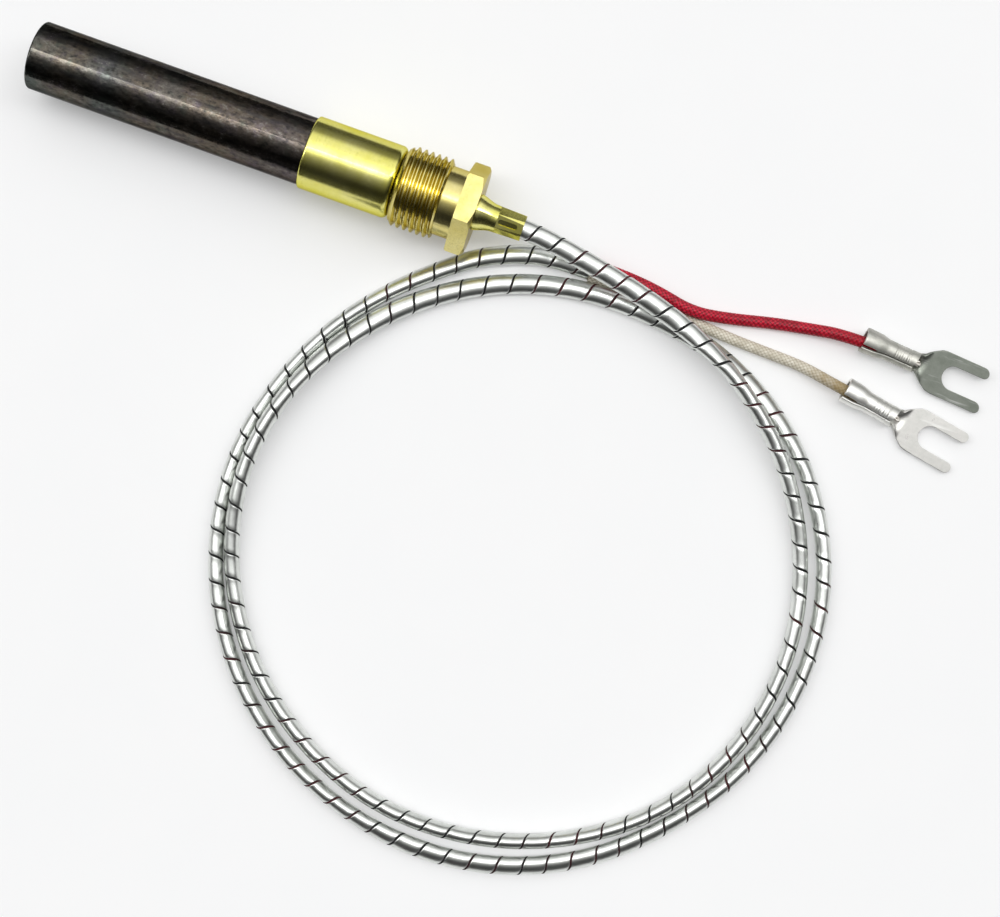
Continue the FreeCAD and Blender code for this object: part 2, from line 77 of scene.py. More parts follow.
# The lead leaves the tail, comes down to the floor and runs into its coil.
LEAD_START = [
    (0.0140, 0.0, 0.0),
    (0.0206, 0.0, 0.0),
    (0.0266, -0.0009, -0.0003),
    (0.0336, -0.0021, -0.0010),
    (0.0408, -0.0037, -0.0016),
    (0.0482, -0.0061, -0.00185),
    (0.0560, -0.0098, -0.0019),
]
# The coil is hand-laid: each of its points has its own radius and its own lift off the floor.
COIL_CENTRE = (0.0347, -0.0454)
COIL_START_ANGLE = 39.7
COIL_STEP = -20.0
FIRST_TURN_R = [0.0417, 0.0420, 0.0426, 0.0428, 0.0428, 0.0421, 0.0418, 0.0419, 0.0418,
                0.0422, 0.0426, 0.0428, 0.0421, 0.0414, 0.0411, 0.0412, 0.0414]
FIRST_TURN_LIFT = [0.0014, 0.0, 0.0, 0.0, 0.0, 0.0, 0.0, 0.0, 0.0,
                   0.0, 0.0004, 0.0020, 0.0022, 0.0003, -0.00035, -0.00035, -0.00035]
SECOND_TURN_R = [0.0431, 0.0447, 0.0456, 0.0458, 0.0457, 0.0453, 0.0456, 0.0456, 0.0453,
                 0.0451, 0.0451, 0.0450, 0.0448, 0.0441, 0.0442, 0.0448]
SECOND_TURN_LIFT = [0.0, 0.0, 0.0, 0.0, -0.0001, -0.00025, -0.00025, 0.0, 0.0,
                    0.0, 0.0, 0.0, 0.0, -0.0001, -0.0002, -0.0003]
LEAD_END = [(0.0186, -0.0034, FLAT_ON_FLOOR), (0.0244, -0.00175, FLAT_ON_FLOOR),
            (0.0304, -0.0018, FLAT_ON_FLOOR)]

RED_START = [
    (0.0304, -0.0009, FLAT_ON_FLOOR),
    (0.0352, -0.0010, ON_FLOOR + 0.0008),
    (0.0408, -0.00154, ON_FLOOR + 0.0010),
    (0.0464, -0.00270, ON_FLOOR + 0.00085),
    (0.0522, -0.00158, WIRE_ON_FLOOR + 0.00005),
    (0.0584, 0.0, WIRE_ON_FLOOR),
    (0.0638, 0.00098, WIRE_ON_FLOOR + 0.0002),
]
WHITE_START = [
    (0.0304, -0.0027, FLAT_ON_FLOOR),
    (0.0349, -0.0024, WIRE_ON_FLOOR),
    (0.0404, -0.0026, WIRE_ON_FLOOR),
    (0.0466, -0.0038, WIRE_ON_FLOOR),
    (0.0530, -0.0043, WIRE_ON_FLOOR),
    (0.0594, -0.00445, WIRE_ON_FLOOR),
    (0.0644, -0.0046, WIRE_ON_FLOOR + 0.0003),
]
BELL_R = 0.0019
WIRE_STRAIGHT_BEFORE_GRIP = 0.0030
WIRE_INTO_GRIP = 0.0024
# mouth and heading place the terminal, aside is how far the wire lies to one side of the barrel's
# axis before the mouth and inside it, plate_roll and skew say how the prongs are bent.
Wire = namedtuple("Wire", "colour diameter start mouth heading aside plate seed plate_roll skew")
WIRES = [
    Wire(colour="red", diameter=RED_WIRE_D, start=RED_START, mouth=(0.0715, 0.0021),
         heading=-4.4, aside=(-0.00060, -0.00027), plate="tin_plate", seed=3,
         plate_roll=math.radians(10.0), skew=0.16),
    Wire(colour="white", diameter=WHITE_WIRE_D, start=WHITE_START, mouth=(0.0714, -0.0057),
         heading=-10.3, aside=(-0.00020, -0.00010), plate="bright_tin_plate", seed=5,
         plate_roll=math.radians(5.5), skew=0.0),
]


def coil_points():
    """The points of the lead's two turns, a fixed angle apart round the coil's centre."""
    radii = FIRST_TURN_R + SECOND_TURN_R
    lifts = FIRST_TURN_LIFT + SECOND_TURN_LIFT
    points = []
    for i, (radius, lift) in enumerate(zip(radii, lifts)):
        angle = math.radians(COIL_START_ANGLE + COIL_STEP * i)
        points.append((COIL_CENTRE[0] + radius * math.cos(angle),
                       COIL_CENTRE[1] + radius * math.sin(angle), ON_FLOOR + lift))
    return points


def heading_vector(heading):
    return Vector((math.cos(math.radians(heading)), math.sin(math.radians(heading)), 0.0))


def barrel_mouth(wire):
    """The middle of the terminal's mouth, whose bell rests on the floor."""
    return Vector((*wire.mouth, FLOOR_Z + BELL_R))


def wire_route(wire):
    """A wire's given points, then a run into its terminal's grip."""
    along = heading_vector(wire.heading)
    across = heading_vector(wire.heading + 90)
    centre = barrel_mouth(wire)
    before, inside = wire.aside
    return wire.start + [tuple(centre - along * WIRE_STRAIGHT_BEFORE_GRIP + across * before),
                         tuple(centre + along * WIRE_INTO_GRIP + across * inside)]


def spline_line(name, points, resolution=48):
    """Points along the NURBS spline that has a route's points as its control points."""
    curve = bpy.data.curves.new(name, "CURVE")
    curve.dimensions = "3D"
    curve.resolution_u = resolution
    spline = curve.splines.new("NURBS")
    spline.points.add(len(points) - 1)
    for knot, point in zip(spline.points, points):
        knot.co = (*point, 1.0)
    spline.order_u = 3
    spline.use_endpoint_u = True
    holder = bpy.data.objects.new(name, curve)
    bpy.context.scene.collection.objects.link(holder)
    bpy.context.view_layer.update()
    mesh = bpy.data.meshes.new_from_object(holder)
    line = np.array([v.co for v in mesh.vertices], float)
    bpy.data.objects.remove(holder)
    bpy.data.curves.remove(curve)
    bpy.data.meshes.remove(mesh)
    return line


class Route:
    """A smooth line with a frame: along it, sideways in the floor's plane, and up."""

    def __init__(self, name, points):
        self.line = spline_line(name, points)
        steps = np.linalg.norm(np.diff(self.line, axis=0), axis=1)
        self.s = np.concatenate([[0.0], np.cumsum(steps)])
        self.length = float(self.s[-1])
        tangent = np.gradient(self.line, self.s, axis=0)
        self.tangent = tangent / np.linalg.norm(tangent, axis=1)[:, None]

    def at(self, s):
        """Centres, side vectors and up vectors at distances s along the line."""
        shape = np.shape(s)
        flat = np.clip(np.ravel(s), 0.0, self.length)
        centre = np.stack([np.interp(flat, self.s, self.line[:, i]) for i in range(3)], 1)
        tangent = np.stack([np.interp(flat, self.s, self.tangent[:, i]) for i in range(3)], 1)
        side = np.cross((0.0, 0.0, 1.0), tangent)
        side /= np.linalg.norm(side, axis=1)[:, None]
        up = np.cross(tangent, side)
        up /= np.linalg.norm(up, axis=1)[:, None]
        return [a.reshape(*shape, 3) for a in (centre, side, up)]

    def path(self, step=0.0005):
        """Points along the line, a step apart."""
        count = max(2, int(self.length / step))
        return self.at(np.linspace(0.0, self.length, count))[0].tolist()


# ---- Meshes ------------------------------------------------------------------------------------
def mesh_object(name, verts, faces, attributes=None):
    mesh = bpy.data.meshes.new(name)
    mesh.from_pydata(np.asarray(verts, float).reshape(-1, 3).tolist(), [], faces)
    for key, values in (attributes or {}).items():
        layer = mesh.attributes.new(key, "FLOAT", "POINT")
        layer.data.foreach_set("value", np.asarray(values, np.float32).ravel())
    mesh.validate()
    mesh.shade_smooth()
    obj = bpy.data.objects.new(name, mesh)
    bpy.context.scene.collection.objects.link(obj)
    return obj


def grid_faces(rows, cols, closed=True, offset=0):
    """Quads of a grid whose rows are rings of cols points."""
    faces = []
    last = cols if closed else cols - 1
    for i in range(rows - 1):
        for k in range(last):
            n = (k + 1) % cols
            faces.append((offset + i * cols + k, offset + i * cols + n,
                          offset + (i + 1) * cols + n, offset + (i + 1) * cols + k))
    return faces


# ---- Armour: one strip wound left-handed round the two wires ------------------------------------
PITCH = 0.00372
SEAM_WIDTH = 0.00031
SEAM_WALL = 0.00003
SEAM_FLOOR = -0.00016
# The strip's section along the lead, from the seam on: distance, and rise above the plain oval.
STRIP_SECTION = [(0.0, -0.00002), (SEAM_WALL, SEAM_FLOOR), (SEAM_WIDTH - SEAM_WALL, SEAM_FLOOR),
                 (SEAM_WIDTH, -0.00003), (0.00040, 0.0), (0.0010, 0.0), (0.0019, 0.0),
                 (0.0028, 0.0), (0.00357, 0.0)]
SEAM_QUADS = 3
SEAM_SQUARENESS = 0.35
AROUND = 40
# The plain oval lies a little inside the armour's size, so that the strip's edges reach it.
OVAL_INSET = 0.00003
STRIP_TILT = 0.000022
TURN_LEAN = 0.000012
# Slow and quick changes of the pitch along the lead: size, length and start of each wave.
PITCH_WAVES = [(0.00022, 0.0075, 1.0), (0.00012, 0.0021, 0.0)]
# How far the oval section has turned from standing on edge, at distances along the lead.
ARMOUR_TWIST = [(0.0, 90), (0.031, 90), (0.045, 0), (0.225, 0), (0.248, 85), (0.292, 90),
                (0.322, 20), (0.335, 0), (0.372, 0), (0.385, 40), (0.400, 62), (0.422, 58),
                (0.434, 15), (0.442, 0), (0.515, 0), (0.530, 40), (0.545, 80), (0.560, 90)]
ARMOUR_SEED = 7
NO_LENGTH = 1e-9


def uneven(s):
    """The strip's pitch breathes a little along the lead."""
    moved = s
    for size, length, start in PITCH_WAVES:
        moved = moved + size * np.sin(s / length + start)
    return moved


def oval(s, angle, rise):
    """Sideways and upward parts of the armour's section, which turns as it goes along."""
    twist = np.radians(np.interp(s, *zip(*ARMOUR_TWIST)))
    phase = angle - twist
    tall = (ARMOUR_TALL / 2 - OVAL_INSET) * np.sin(phase)
    thin = (ARMOUR_THIN / 2 - OVAL_INSET) * np.cos(phase)
    grown = 1 + rise / np.hypot(tall, thin)
    tall, thin = tall * grown, thin * grown
    return (thin * np.cos(twist) - tall * np.sin(twist),
            thin * np.sin(twist) + tall * np.cos(twist))


def strip_faces(s, rows, stations):
    """Quads between the rows, and which are the seam's; each row runs on into the next turn's."""
    faces, in_seam = [], []
    for j in range(rows - 1):
        for i in range(AROUND):
            if i < AROUND - 1:
                corners = ((j, i), (j + 1, i), (j + 1, i + 1), (j, i + 1))
            else:
                corners = ((j, i), (j + 1, i), (j + 1 + stations, 0), (j + stations, 0))
            places = [s[corner] for corner in corners]
            if max(places) - min(places) < NO_LENGTH:
                continue
            faces.append([row * AROUND + column for row, column in corners])
            in_seam.append(j % stations < SEAM_QUADS)
    return faces, in_seam


def armour_mesh(route):
    """The wound strip, cut off square at both ends of the route."""
    stations = len(STRIP_SECTION)
    turns = int(route.length / PITCH) + 3
    turn, station = np.divmod(np.arange(turns * stations), stations)
    offset, lift = np.array(STRIP_SECTION).T[:, station]
    k = np.arange(AROUND)
    share = k / AROUND + SEAM_SQUARENESS * np.sin(4 * math.pi * k / AROUND) / (4 * math.pi)
    s = ((turn - 1) * PITCH + offset)[:, None] + PITCH * share[None, :]
    s = np.clip(uneven(s), 0.0, route.length)
    rng = np.random.default_rng(ARMOUR_SEED)
    knots = np.arange(turns + 2)
    lean = np.interp(turn[:, None] + k[None, :] / AROUND, knots, rng.uniform(-1, 1, turns + 2))
    rise = (lift + STRIP_TILT * (1 - 2 * (offset / PITCH)))[:, None] + TURN_LEAN * lean
    sideways, upward = oval(s, -2 * math.pi * k / AROUND, rise)
    centre, side, up = route.at(s)
    verts = centre + side * sideways[..., None] + up * upward[..., None]
    return verts, *strip_faces(s, (turns - 1) * stations, stations)


WELD_DISTANCE = 1e-7


def clean(obj):
    """Weld points that coincide, drop what has no area, and close the open ends."""
    bm = bmesh.new()
    bm.from_mesh(obj.data)
    bmesh.ops.remove_doubles(bm, verts=bm.verts, dist=WELD_DISTANCE)
    bmesh.ops.dissolve_degenerate(bm, edges=bm.edges, dist=WELD_DISTANCE)
    loose = [v for v in bm.verts if not v.link_faces]
    bmesh.ops.delete(bm, geom=loose, context="VERTS")
    rims = [e for e in bm.edges if len(e.link_faces) == 1]
    bmesh.ops.holes_fill(bm, edges=rims, sides=0)
    bmesh.ops.recalc_face_normals(bm, faces=bm.faces)
    bm.to_mesh(obj.data)
    bm.free()


# ---- Braided wires -------------------------------------------------------------------------------
BRAID_AROUND = 66
BRAID_STEP = 0.000075
BRAID_CARRIERS = 8
BRAID_LEAD = 0.0056
BRAID_RISE = 0.00013
YARN_ROUNDNESS = 0.65
YARN_BOW = 0.35


def braid_height(around, along):
    """Height from 0 to 1 of two families of yarn that cross, and which of them is on top."""
    one = BRAID_CARRIERS * (around + along / BRAID_LEAD)
    two = BRAID_CARRIERS * (around - along / BRAID_LEAD)
    over = (np.floor(one) + np.floor(two)) % 2 == 0
    across = np.where(over, one % 1.0, two % 1.0)
    bow = np.where(over, two % 1.0, one % 1.0)
    height = YARN_ROUNDNESS * (1 - (2 * across - 1) ** 4) + YARN_BOW * np.sin(math.pi * bow)
    return height, over


def braided_mesh(route, diameter):
    """A tube whose surface is the braid's, closed at both ends."""
    rows = int(route.length / BRAID_STEP)
    s = np.linspace(0.0, route.length, rows)
    k = np.arange(BRAID_AROUND) / BRAID_AROUND
    s2, a2 = np.meshgrid(s, k, indexing="ij")
    height, over = braid_height(a2, s2)
    centre, side, up = route.at(s2)
    radius = diameter / 2 - BRAID_RISE + BRAID_RISE * height
    angle = 2 * math.pi * a2
    verts = (centre + side * (radius * np.cos(angle))[..., None]
             + up * (radius * np.sin(angle))[..., None])
    faces = grid_faces(rows, BRAID_AROUND)
    faces.append(tuple(range(BRAID_AROUND - 1, -1, -1)))
    faces.append(tuple(range((rows - 1) * BRAID_AROUND, rows * BRAID_AROUND)))
    return verts, faces, {"yarn": height, "along": s2 / route.length,
                          "family": over.astype(float)}


# ---- Fork terminals ------------------------------------------------------------------------------
# All lengths of a terminal are in millimetres, with x from its mouth towards the prongs.
FORK_LENGTH = 19.4
FORK_HALF_WIDTH = 3.35
FORK_SHOULDER_X = 11.4
FORK_NECK_X = 9.2
FORK_NECK_HALF = 1.85
PLATE_BOTTOM = -1.5
PLATE_THICK = 0.8
WALL = 0.5
SLOT_HALF = 1.75
SLOT_ROOT_X = 12.7
TIP_R = (FORK_HALF_WIDTH - SLOT_HALF) / 2
BARREL_R = 1.55
# Outer radius of the bell at distances from the mouth.
MOUTH_PROFILE = [(0, 1.86), (0.25, 1.90), (2.4, 1.82)]
BARREL_START_X = 3.6
BARREL_END_X = 8.4
SEAM_GAP = 0.30
SEAM_ROLL = math.radians(38.0)
SERRATIONS = (4.9, 5.25, 5.65, 6.0, 6.4, 6.75, 7.15)
SERRATION_WIDTH = 0.09
DENTS = 14
# How far a rolled plate may dip before it is lifted to stay above the floor.
PLATE_MAY_DIP = 0.35
FORK_COLS = 33
NEARLY_FLAT = 1e-4
TINY = 1e-6


def smooth(x, low, high):
    t = np.clip((x - low) / (high - low), 0.0, 1.0)
    return t * t * (3 - 2 * t)


def fork_section(x):
    """Curvature, developed half width, lowest height and sheet thickness at a station."""
    profile = MOUTH_PROFILE + [(BARREL_START_X, BARREL_R), (BARREL_END_X, BARREL_R)]
    outer = np.interp(x, *zip(*profile))
    flat = smooth(x, BARREL_END_X - 0.05, BARREL_END_X + 1.9)
    curl = (1 - flat) / outer
    rolled = math.pi * outer - SEAM_GAP / 2 - 0.16 * (1 - smooth(x, 1.6, 2.6))
    neck = np.interp(x, [BARREL_END_X, FORK_NECK_X, FORK_SHOULDER_X, FORK_SHOULDER_X + 0.7],
                     [FORK_NECK_HALF, FORK_NECK_HALF, FORK_HALF_WIDTH - 0.12, FORK_HALF_WIDTH])
    opened = smooth(x, BARREL_END_X - 0.5, BARREL_END_X + 0.35)
    half = rolled * (1 - opened) + neck * opened
    bottom = -outer * (1 - flat) + PLATE_BOTTOM * flat
    thick = WALL * (1 - flat) + PLATE_THICK * flat
    return curl, half, bottom, thick


def fork_stations():
    """Distances from the mouth, closest together where the shape changes most."""
    fine = [np.linspace(0, 0.25, 4), np.linspace(0.35, BARREL_START_X, 12),
            np.linspace(BARREL_START_X + 0.1, BARREL_END_X, 60),
            np.linspace(BARREL_END_X + 0.1, SLOT_ROOT_X - 0.15, 34)]
    root = SLOT_ROOT_X + SLOT_HALF * (1 - np.cos(np.linspace(0, math.pi / 2, 18)))
    tip = FORK_LENGTH - TIP_R + TIP_R * np.sin(np.linspace(0, math.pi / 2, 12))
    return np.concatenate(fine + [root, np.linspace(14.8, FORK_LENGTH - TIP_R - 0.2, 8), tip])


def fork_edges(x, half):
    """Inner and outer edge of a prong at a station; the inner edge is 0 behind the slot."""
    inner, outer = 0.0, half
    if x >= SLOT_ROOT_X:
        inner = math.sqrt(max(0.0, SLOT_HALF ** 2 - max(0.0, SLOT_ROOT_X + SLOT_HALF - x) ** 2))
    if x > FORK_LENGTH - TIP_R:
        reach = math.sqrt(max(TINY, TIP_R ** 2 - (x - FORK_LENGTH + TIP_R) ** 2))
        middle = (FORK_HALF_WIDTH + SLOT_HALF) / 2
        inner, outer = middle - reach, middle + reach
    return inner, outer


def pressed_marks(x, u, grooves, dents):
    """How deep the grip's outer face is pressed in at a place on the sheet."""
    depth_here = 0.0
    for groove_x, depth in grooves:
        depth_here += depth * math.exp(-((x - groove_x) / SERRATION_WIDTH) ** 2)
    for dent_x, dent_u, width, depth in dents:
        away = (x - dent_x) ** 2 + (u - dent_u) ** 2
        depth_here += depth * math.exp(-away / width ** 2)
    return depth_here * smooth(x, 3.2, 4.2) * (1 - smooth(x, 8.0, 8.4))


def bent_point(u, lift, curl, bottom, roll):
    """Across and up parts of a point of the sheet that is lifted off its outer face."""
    bend = curl * u
    if curl > NEARLY_FLAT:
        y, z = math.sin(bend) / curl, bottom + (1 - math.cos(bend)) / curl
    else:
        y, z = u, bottom
    y -= lift * math.sin(bend)
    z += lift * math.cos(bend)
    return y * math.cos(roll) - z * math.sin(roll), y * math.sin(roll) + z * math.cos(roll)


def fork_faces(stations):
    """Faces of both halves: two skins each, their long edges and their ends."""
    faces = []
    rows, block = len(stations), len(stations) * FORK_COLS
    for half, hand in enumerate((-1, 1)):
        outside, inside = 2 * half * block, (2 * half + 1) * block
        for offset, flip in ((outside, hand > 0), (inside, hand < 0)):
            for face in grid_faces(rows, FORK_COLS, closed=False, offset=offset):
                faces.append(face[::-1] if flip else face)
        for c in (0, FORK_COLS - 1):
            for i in range(rows - 1):
                if c == 0 and stations[i] < SLOT_ROOT_X - TINY:
                    continue
                a, b = i * FORK_COLS + c, (i + 1) * FORK_COLS + c
                faces.append((outside + a, outside + b, inside + b, inside + a))
        for i in (0, rows - 1):
            for c in range(FORK_COLS - 1):
                a, b = i * FORK_COLS + c, i * FORK_COLS + c + 1
                faces.append((outside + a, outside + b, inside + b, inside + a))
    return faces


def fork_mesh(wire):
    """One sheet, rolled into the barrel and opening into the two prongs."""
    rng = random.Random(wire.seed)
    dents = [(rng.uniform(4, 8.2), rng.uniform(-3, 3), rng.uniform(0.3, 0.7),
              rng.uniform(-0.03, 0.025)) for _ in range(DENTS)]
    grooves = [(x + rng.uniform(-0.06, 0.06), rng.uniform(0.05, 0.10)) for x in SERRATIONS]
    above_floor = max(0.0, FORK_HALF_WIDTH * abs(math.sin(wire.plate_roll)) - PLATE_MAY_DIP)
    stations = fork_stations()
    verts, rolled = [], []
    for hand in (-1, 1):
        for outside in (True, False):
            for x in stations:
                curl, half, bottom, thick = fork_section(x)
                inner, outer = fork_edges(x, half)
                opened = smooth(x, BARREL_END_X - 0.3, BARREL_END_X + 0.9)
                roll = SEAM_ROLL * (1 - opened) + wire.plate_roll * opened
                skew = wire.skew * smooth(x, 11.0, 15.0)
                for c in range(FORK_COLS):
                    u = hand * (inner + (outer - inner) * c / (FORK_COLS - 1))
                    lift = pressed_marks(x, u, grooves, dents) if outside else thick
                    y, z = bent_point(u, lift, curl, bottom, roll)
                    verts.append(((x - skew * y) * MM, y * MM, (z + opened * above_floor) * MM))
                    rolled.append(1.0 - opened)
    return verts, fork_faces(stations), {"rolled": rolled}


def place(obj, wire):
    """Turn a piece made along X to its terminal's heading and move it to the mouth."""
    obj.data.transform(Matrix.Translation(barrel_mouth(wire))
                       @ Matrix.Rotation(math.radians(wire.heading), 4, "Z"))
    return obj


# ---- Bare strands in the grip, in millimetres from the mouth -------------------------------------
STRANDS = 7
STRAND_R = 0.15
STRAND_ORBIT = 0.31
STRAND_START_X = 2.2
STRAND_LENGTH = 6.9
STRAND_STAGGER = 0.22
STRAND_TWIST = 2.2


def strands_mesh():
    """One straight strand and six round it with a slight twist, cut to uneven lengths."""
    verts, faces = [], []
    rows, ring = 60, 10
    for n in range(STRANDS):
        orbit = STRAND_ORBIT if n else 0.0
        start = len(verts)
        for i in range(rows):
            t = i / (rows - 1)
            x = STRAND_START_X + STRAND_LENGTH * t - STRAND_STAGGER * (n % 3) * t
            turn = 2 * math.pi * n / (STRANDS - 1) + STRAND_TWIST * t
            y, z = orbit * math.cos(turn), orbit * math.sin(turn)
            for k in range(ring):
                angle = 2 * math.pi * k / ring
                verts.append((x * MM, (y + STRAND_R * math.cos(angle)) * MM,
                              (z + STRAND_R * math.sin(angle)) * MM))
        faces += grid_faces(rows, ring, offset=start)
        faces.append(tuple(range(start + ring - 1, start - 1, -1)))
        faces.append(tuple(range(start + (rows - 1) * ring, start + rows * ring)))
    return verts, faces


# ---- Materials -----------------------------------------------------------------------------------
class Nodes:
    """Short calls that add and join the nodes of one tree."""

    def __init__(self, tree):
        self.tree = tree

    def feed(self, socket, value):
        if isinstance(value, bpy.types.NodeSocket):
            self.tree.links.new(value, socket)
        else:
            socket.default_value = value

    def node(self, kind, inputs=None, **settings):
        made = self.tree.nodes.new(kind)
        for key, value in settings.items():
            setattr(made, key, value)
        for key, value in (inputs or {}).items():
            self.feed(made.inputs[key], value)
        return made

    def math(self, operation, *values):
        made = self.node("ShaderNodeMath", dict(enumerate(values)), operation=operation)
        return made.outputs["Value"]

    def mix(self, factor, a, b, blend="MIX"):
        """A blend of two colours; a Mix node's colours are its sockets 6 and 7."""
        return self.node("ShaderNodeMix", {0: factor, 6: a, 7: b}, data_type="RGBA",
                         blend_type=blend).outputs[2]

    def remap(self, value, low, high, to_low=0.0, to_high=1.0, curve="LINEAR"):
        inputs = {"Value": value, "From Min": low, "From Max": high, "To Min": to_low,
                  "To Max": to_high}
        return self.node("ShaderNodeMapRange", inputs, interpolation_type=curve).outputs["Result"]


class Shader(Nodes):
    """A Principled material, whose textures lie in the object's own metres."""

    def __init__(self, name, **sockets):
        self.material = bpy.data.materials.new(name)
        self.material.use_nodes = True
        super().__init__(self.material.node_tree)
        self.principled = self.tree.nodes["Principled BSDF"]
        self.place = self.node("ShaderNodeTexCoord").outputs["Object"]
        self.set(**sockets)

    def set(self, **sockets):
        """Feed the Principled node's sockets, named as roughness or specular_ior_level."""
        for key, value in sockets.items():
            socket_name = key.replace("_", " ").title().replace("Ior", "IOR")
            self.feed(self.principled.inputs[socket_name], value)
        return self.material

    def scaled(self, x, y, z):
        """The object's own metres, stretched along each axis."""
        return self.node("ShaderNodeMapping", {"Vector": self.place,
                                               "Scale": (x, y, z)}).outputs["Vector"]

    def noise(self, scale, detail=3.0, roughness=0.55, vector=None):
        inputs = {"Scale": scale, "Detail": detail, "Roughness": roughness,
                  "Vector": self.place if vector is None else vector}
        return self.node("ShaderNodeTexNoise", inputs).outputs["Fac"]

    def attribute(self, name):
        return self.node("ShaderNodeAttribute", attribute_name=name).outputs["Fac"]

    def bump(self, height, distance, strength, normal=None):
        inputs = {"Height": height, "Distance": distance, "Strength": strength}
        if normal is not None:
            inputs["Normal"] = normal
        return self.node("ShaderNodeBump", inputs).outputs["Normal"]


def rgb(r, g, b):
    return (r, g, b, 1.0)


def blued_steel():
    """Heat-blued steel, greyer at the hot end and browner at the shell, flecked and streaked."""
    m = Shader("blued_steel", metallic=1.0, specular_tint=rgb(0.40, 0.40, 0.40))
    broad = m.noise(95.0, 4.0, 0.6, m.scaled(1, 0.5, 0.5))
    patch = m.noise(420.0, 6.0, 0.7)
    speck = m.noise(1500.0, 6.0, 0.78, m.scaled(0.6, 1, 1))
    streak = m.noise(900.0, 3.0, 0.6, m.scaled(0.12, 1, 1))
    along = m.node("ShaderNodeSeparateXYZ", {"Vector": m.place}).outputs["X"]
    grey = m.mix(m.remap(along, -0.050, -0.022), rgb(0.084, 0.094, 0.090),
                 rgb(0.108, 0.092, 0.084))
    brown = m.mix(m.remap(broad, 0.42, 0.60, 0.0, 0.8), grey, rgb(0.124, 0.100, 0.074))
    purple = m.mix(m.remap(patch, 0.52, 0.68, 0.0, 0.6), brown, rgb(0.098, 0.078, 0.104))
    green = m.mix(m.remap(patch, 0.46, 0.30, 0.0, 0.6), purple, rgb(0.074, 0.098, 0.078))
    pale = m.mix(m.remap(speck, 0.54, 0.66, 0.0, 0.75), green, rgb(0.21, 0.20, 0.18))
    worn = m.mix(m.remap(speck, 0.49, 0.38, 0.0, 0.90), pale, rgb(0.032, 0.031, 0.029))
    dark = m.mix(m.remap(streak, 0.50, 0.66, 0.0, 0.6), worn, rgb(0.040, 0.040, 0.044))
    rough = m.math("ADD", m.remap(patch, 0.36, 0.64, 0.06, 0.20),
                   m.remap(speck, 0.45, 0.7, 0.0, 0.12))
    return m.set(base_color=dark, roughness=rough,
                 normal=m.bump(m.math("ADD", speck, streak), 0.000014, 0.55))


def cap_steel():
    """Sooty, duller steel."""
    m = Shader("cap_steel", metallic=0.85, roughness=0.5)
    soot = m.noise(600.0, 5.0, 0.65)
    return m.set(base_color=m.mix(soot, rgb(0.03, 0.03, 0.032), rgb(0.11, 0.09, 0.08)),
                 normal=m.bump(soot, 0.00004, 0.5))


def brass(name, body, pale, dark, edge, turned, rough):
    """Polished brass with tool marks round its axis, fine grain and slight tarnish."""
    m = Shader(name, metallic=1.0, specular_tint=edge)
    lines = m.noise(1.0, 4.0, 0.7, m.scaled(turned, 60.0, 60.0))
    grain = m.noise(3200.0, 4.0, 0.65)
    cloud = m.noise(260.0, 4.0, 0.6)
    colour = m.mix(m.remap(cloud, 0.35, 0.68), body, pale)
    colour = m.mix(m.remap(m.math("MULTIPLY", grain, lines), 0.30, 0.42, 0.0, 0.55), colour, dark)
    roughness = m.math("ADD", m.remap(grain, 0.3, 0.7, rough, rough + 0.10),
                       m.remap(cloud, 0.4, 0.7, 0.0, 0.05))
    fine = m.bump(grain, 0.000005, 0.45)
    return m.set(base_color=colour, roughness=roughness,
                 normal=m.bump(lines, 0.00001, 0.35, fine))


def armour_strip():
    """Bright rolled strip, slightly clouded."""
    m = Shader("armour_strip", metallic=1.0)
    grain = m.noise(2400.0, 5.0, 0.7)
    cloud = m.noise(300.0, 4.0, 0.6)
    dull = m.mix(m.remap(cloud, 0.38, 0.66), rgb(0.76, 0.78, 0.75), rgb(0.62, 0.64, 0.61))
    colour = m.mix(m.remap(grain, 0.58, 0.75, 0.0, 0.5), dull, rgb(0.44, 0.46, 0.43))
    return m.set(base_color=colour, roughness=m.remap(grain, 0.3, 0.75, 0.27, 0.37),
                 normal=m.bump(grain, 0.000006, 0.5))


def armour_seam():
    """The gap between turns: dark oxide on the strip's edges and near-black painted shade deep in
    the gap, with the red wire behind it here and there.
    """
    m = Shader("armour_seam", metallic=0.0, roughness=0.7)
    cloud = m.noise(46.0, 2.0, 0.5)
    return m.set(base_color=m.mix(m.remap(cloud, 0.52, 0.62), rgb(0.006, 0.006, 0.007),
                                  rgb(0.060, 0.006, 0.010)))


def braid(name, crown, valley_shade, stain, stain_share, rough, glint_fleck):
    """Braided glass yarn with painted shade in the weave's hollows and painted glints on its
    fibres, stained near the terminal.
    """
    m = Shader(name, roughness=rough, specular_ior_level=0.30)
    yarn = m.attribute("yarn")
    family = m.attribute("family")
    along = m.attribute("along")
    fibre = m.noise(5200.0, 3.0, 0.7)
    mottle = m.noise(700.0, 4.0, 0.6)
    # Where the yarn lies low, the colour of the hollows is painted shade; one family of yarn and a
    # random mottle are also drawn darker towards it.
    colour = m.mix(m.remap(yarn, 0.40, 0.95), valley_shade, crown)
    colour = m.mix(m.math("MULTIPLY", family, 0.20), colour, valley_shade)
    colour = m.mix(m.remap(mottle, 0.55, 0.40, 0.0, 0.45), colour, valley_shade)
    # Pale fibre flecks are painted glints.
    colour = m.mix(m.remap(fibre, 0.55, 0.75, 0.0, 0.45), colour, glint_fleck)
    end = m.remap(m.math("ADD", along, m.remap(mottle, 0.3, 0.7, -0.05, 0.05)), 0.80, 0.93)
    colour = m.mix(m.math("MULTIPLY", end, stain_share), colour, stain)
    return m.set(base_color=colour, normal=m.bump(fibre, 0.00003, 0.5))


